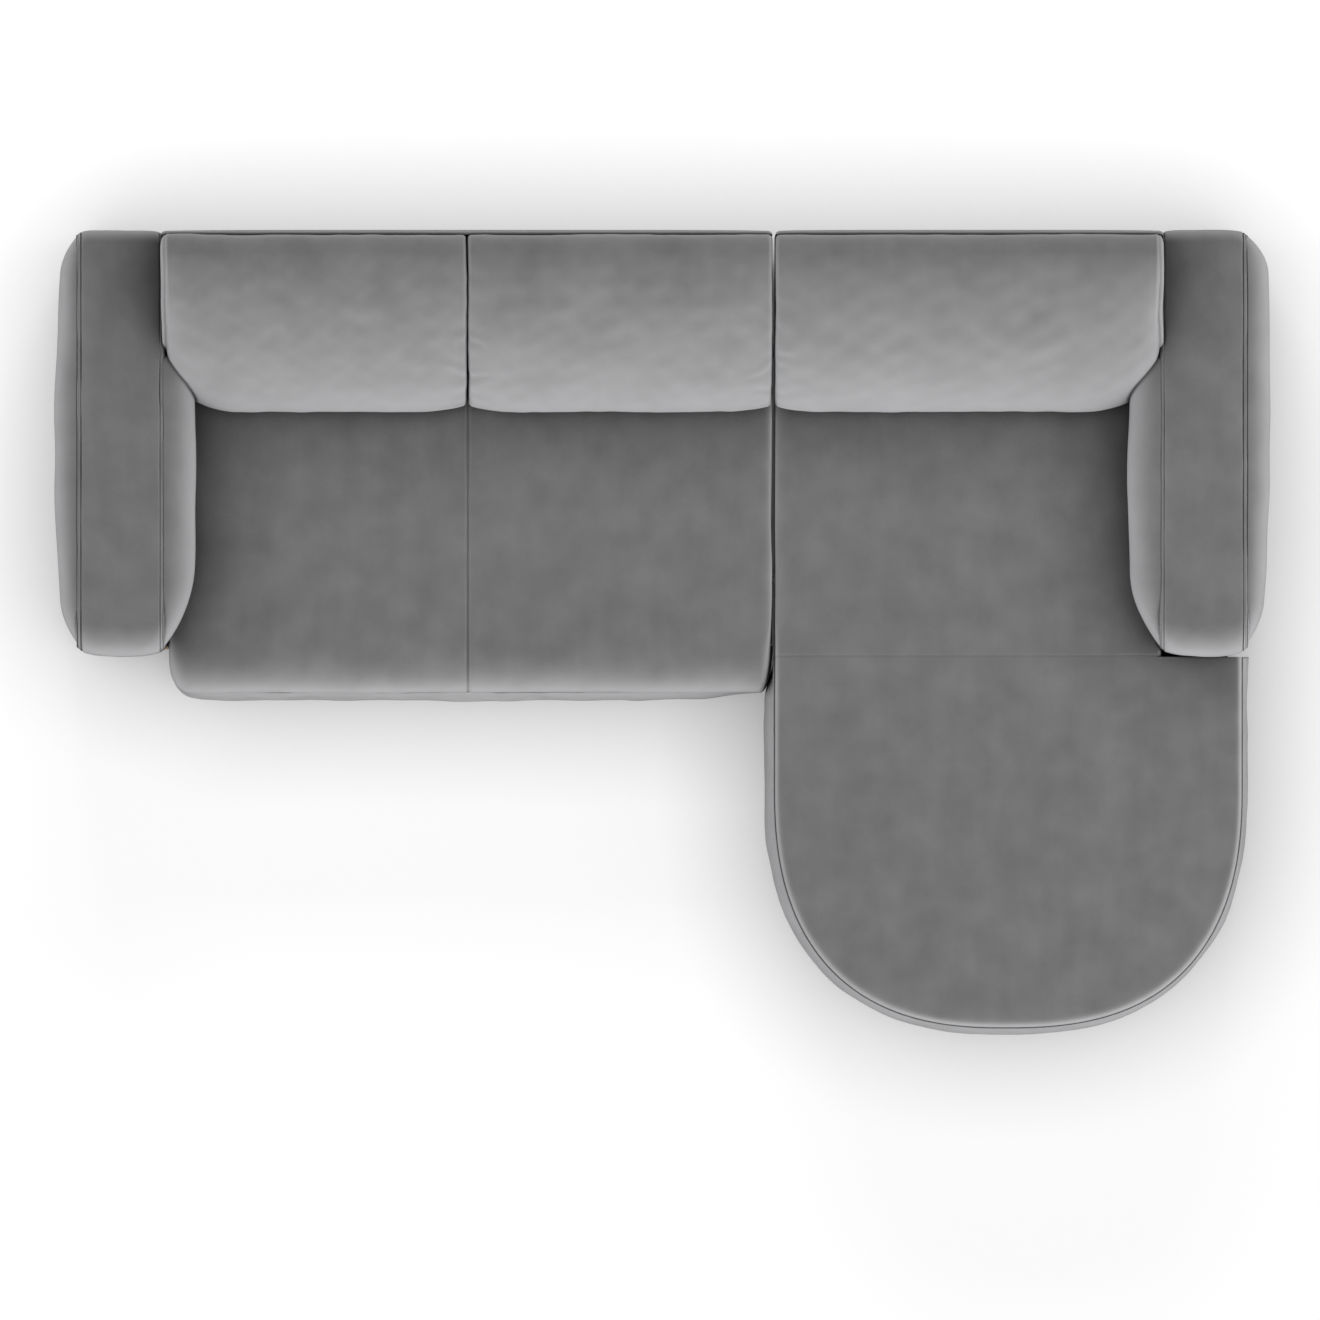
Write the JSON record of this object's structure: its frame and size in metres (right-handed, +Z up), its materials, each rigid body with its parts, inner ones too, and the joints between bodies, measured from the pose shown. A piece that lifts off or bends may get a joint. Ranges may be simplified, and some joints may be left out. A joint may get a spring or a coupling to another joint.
{
  "type": "corner sofa",
  "caption": "Corner sofa in two upholstered modules: a two-seater with one arm, and a chaise longue with the other, with fixed back cushions.",
  "frame": {"origin": "on the floor under the middle of the sofa's bounding box", "axes": "+X to the right along the back, as seen by someone who looks at it from the front, +Y to the rear, +Z up"},
  "size_m": [2.85, 1.885, 0.79],
  "materials": {
    "velvet": "soft short-pile velvet",
    "timber": "sawn softwood",
    "plywood": "sanded plywood",
    "foam": "open-cell foam",
    "felt": "needled felt",
    "webbing": "woven elastic",
    "lining": "nonwoven lining",
    "steel": "zinc plated",
    "foot_plastic": "moulded"
  },
  "bodies": {
    "seat_module": {"seat_front_rail": "timber", "seat_rear_rail": "timber", "seat_cross_rails": "timber", "seat_side_rails": "timber", "seat_corner_blocks": "timber", "seat_springs": "steel", "seat_spring_clips": "steel", "seat_felt": "felt", "seat_foam": "foam", "seat_cover": "velvet", "seat_front_border": "velvet", "seat_side_pad": "lining", "seat_rear_panel": "velvet", "seat_feet": "foot_plastic", "seat_foot_nuts": "steel", "seat_dust_cover": "lining", "seat_connector_pockets": "steel", "seat_connector_screws": "steel", "back_frame_left": "plywood", "back_webbing_left": "webbing", "back_foam_left": "foam", "back_cover_left": "velvet", "back_frame_middle": "plywood", "back_webbing_middle": "webbing", "back_foam_middle": "foam", "back_cover_middle": "velvet", "left_arm_frame": "plywood", "left_arm_band": "velvet", "left_arm_outer_pad": "velvet", "left_arm_inner_pad": "velvet", "left_arm_bolts": "steel"},
    "chaise_module": {"chaise_cross_rails": "timber", "chaise_rear_rail": "timber", "chaise_side_rails": "timber", "chaise_bow_rail": "plywood", "chaise_corner_blocks": "timber", "chaise_springs": "steel", "chaise_spring_clips": "steel", "chaise_felt": "felt", "chaise_foam": "foam", "chaise_rear_cover": "velvet", "chaise_front_cover": "velvet", "chaise_border": "velvet", "chaise_welt": "velvet", "chaise_side_pad": "lining", "chaise_rear_panel": "velvet", "chaise_feet": "foot_plastic", "chaise_foot_nuts": "steel", "chaise_dust_cover": "lining", "chaise_connector_hooks": "steel", "chaise_connector_screws": "steel", "back_frame_right": "plywood", "back_webbing_right": "webbing", "back_foam_right": "foam", "back_cover_right": "velvet", "right_arm_frame": "plywood", "right_arm_band": "velvet", "right_arm_outer_pad": "velvet", "right_arm_inner_pad": "velvet", "right_arm_bolts": "steel"}
  },
  "joints": [
    {"name": "chaise_lift", "type": "slide", "parent": "seat_module", "child": "chaise_module", "axis": [0, 0, 1], "range_m": [0, 0.06]}
  ]
}
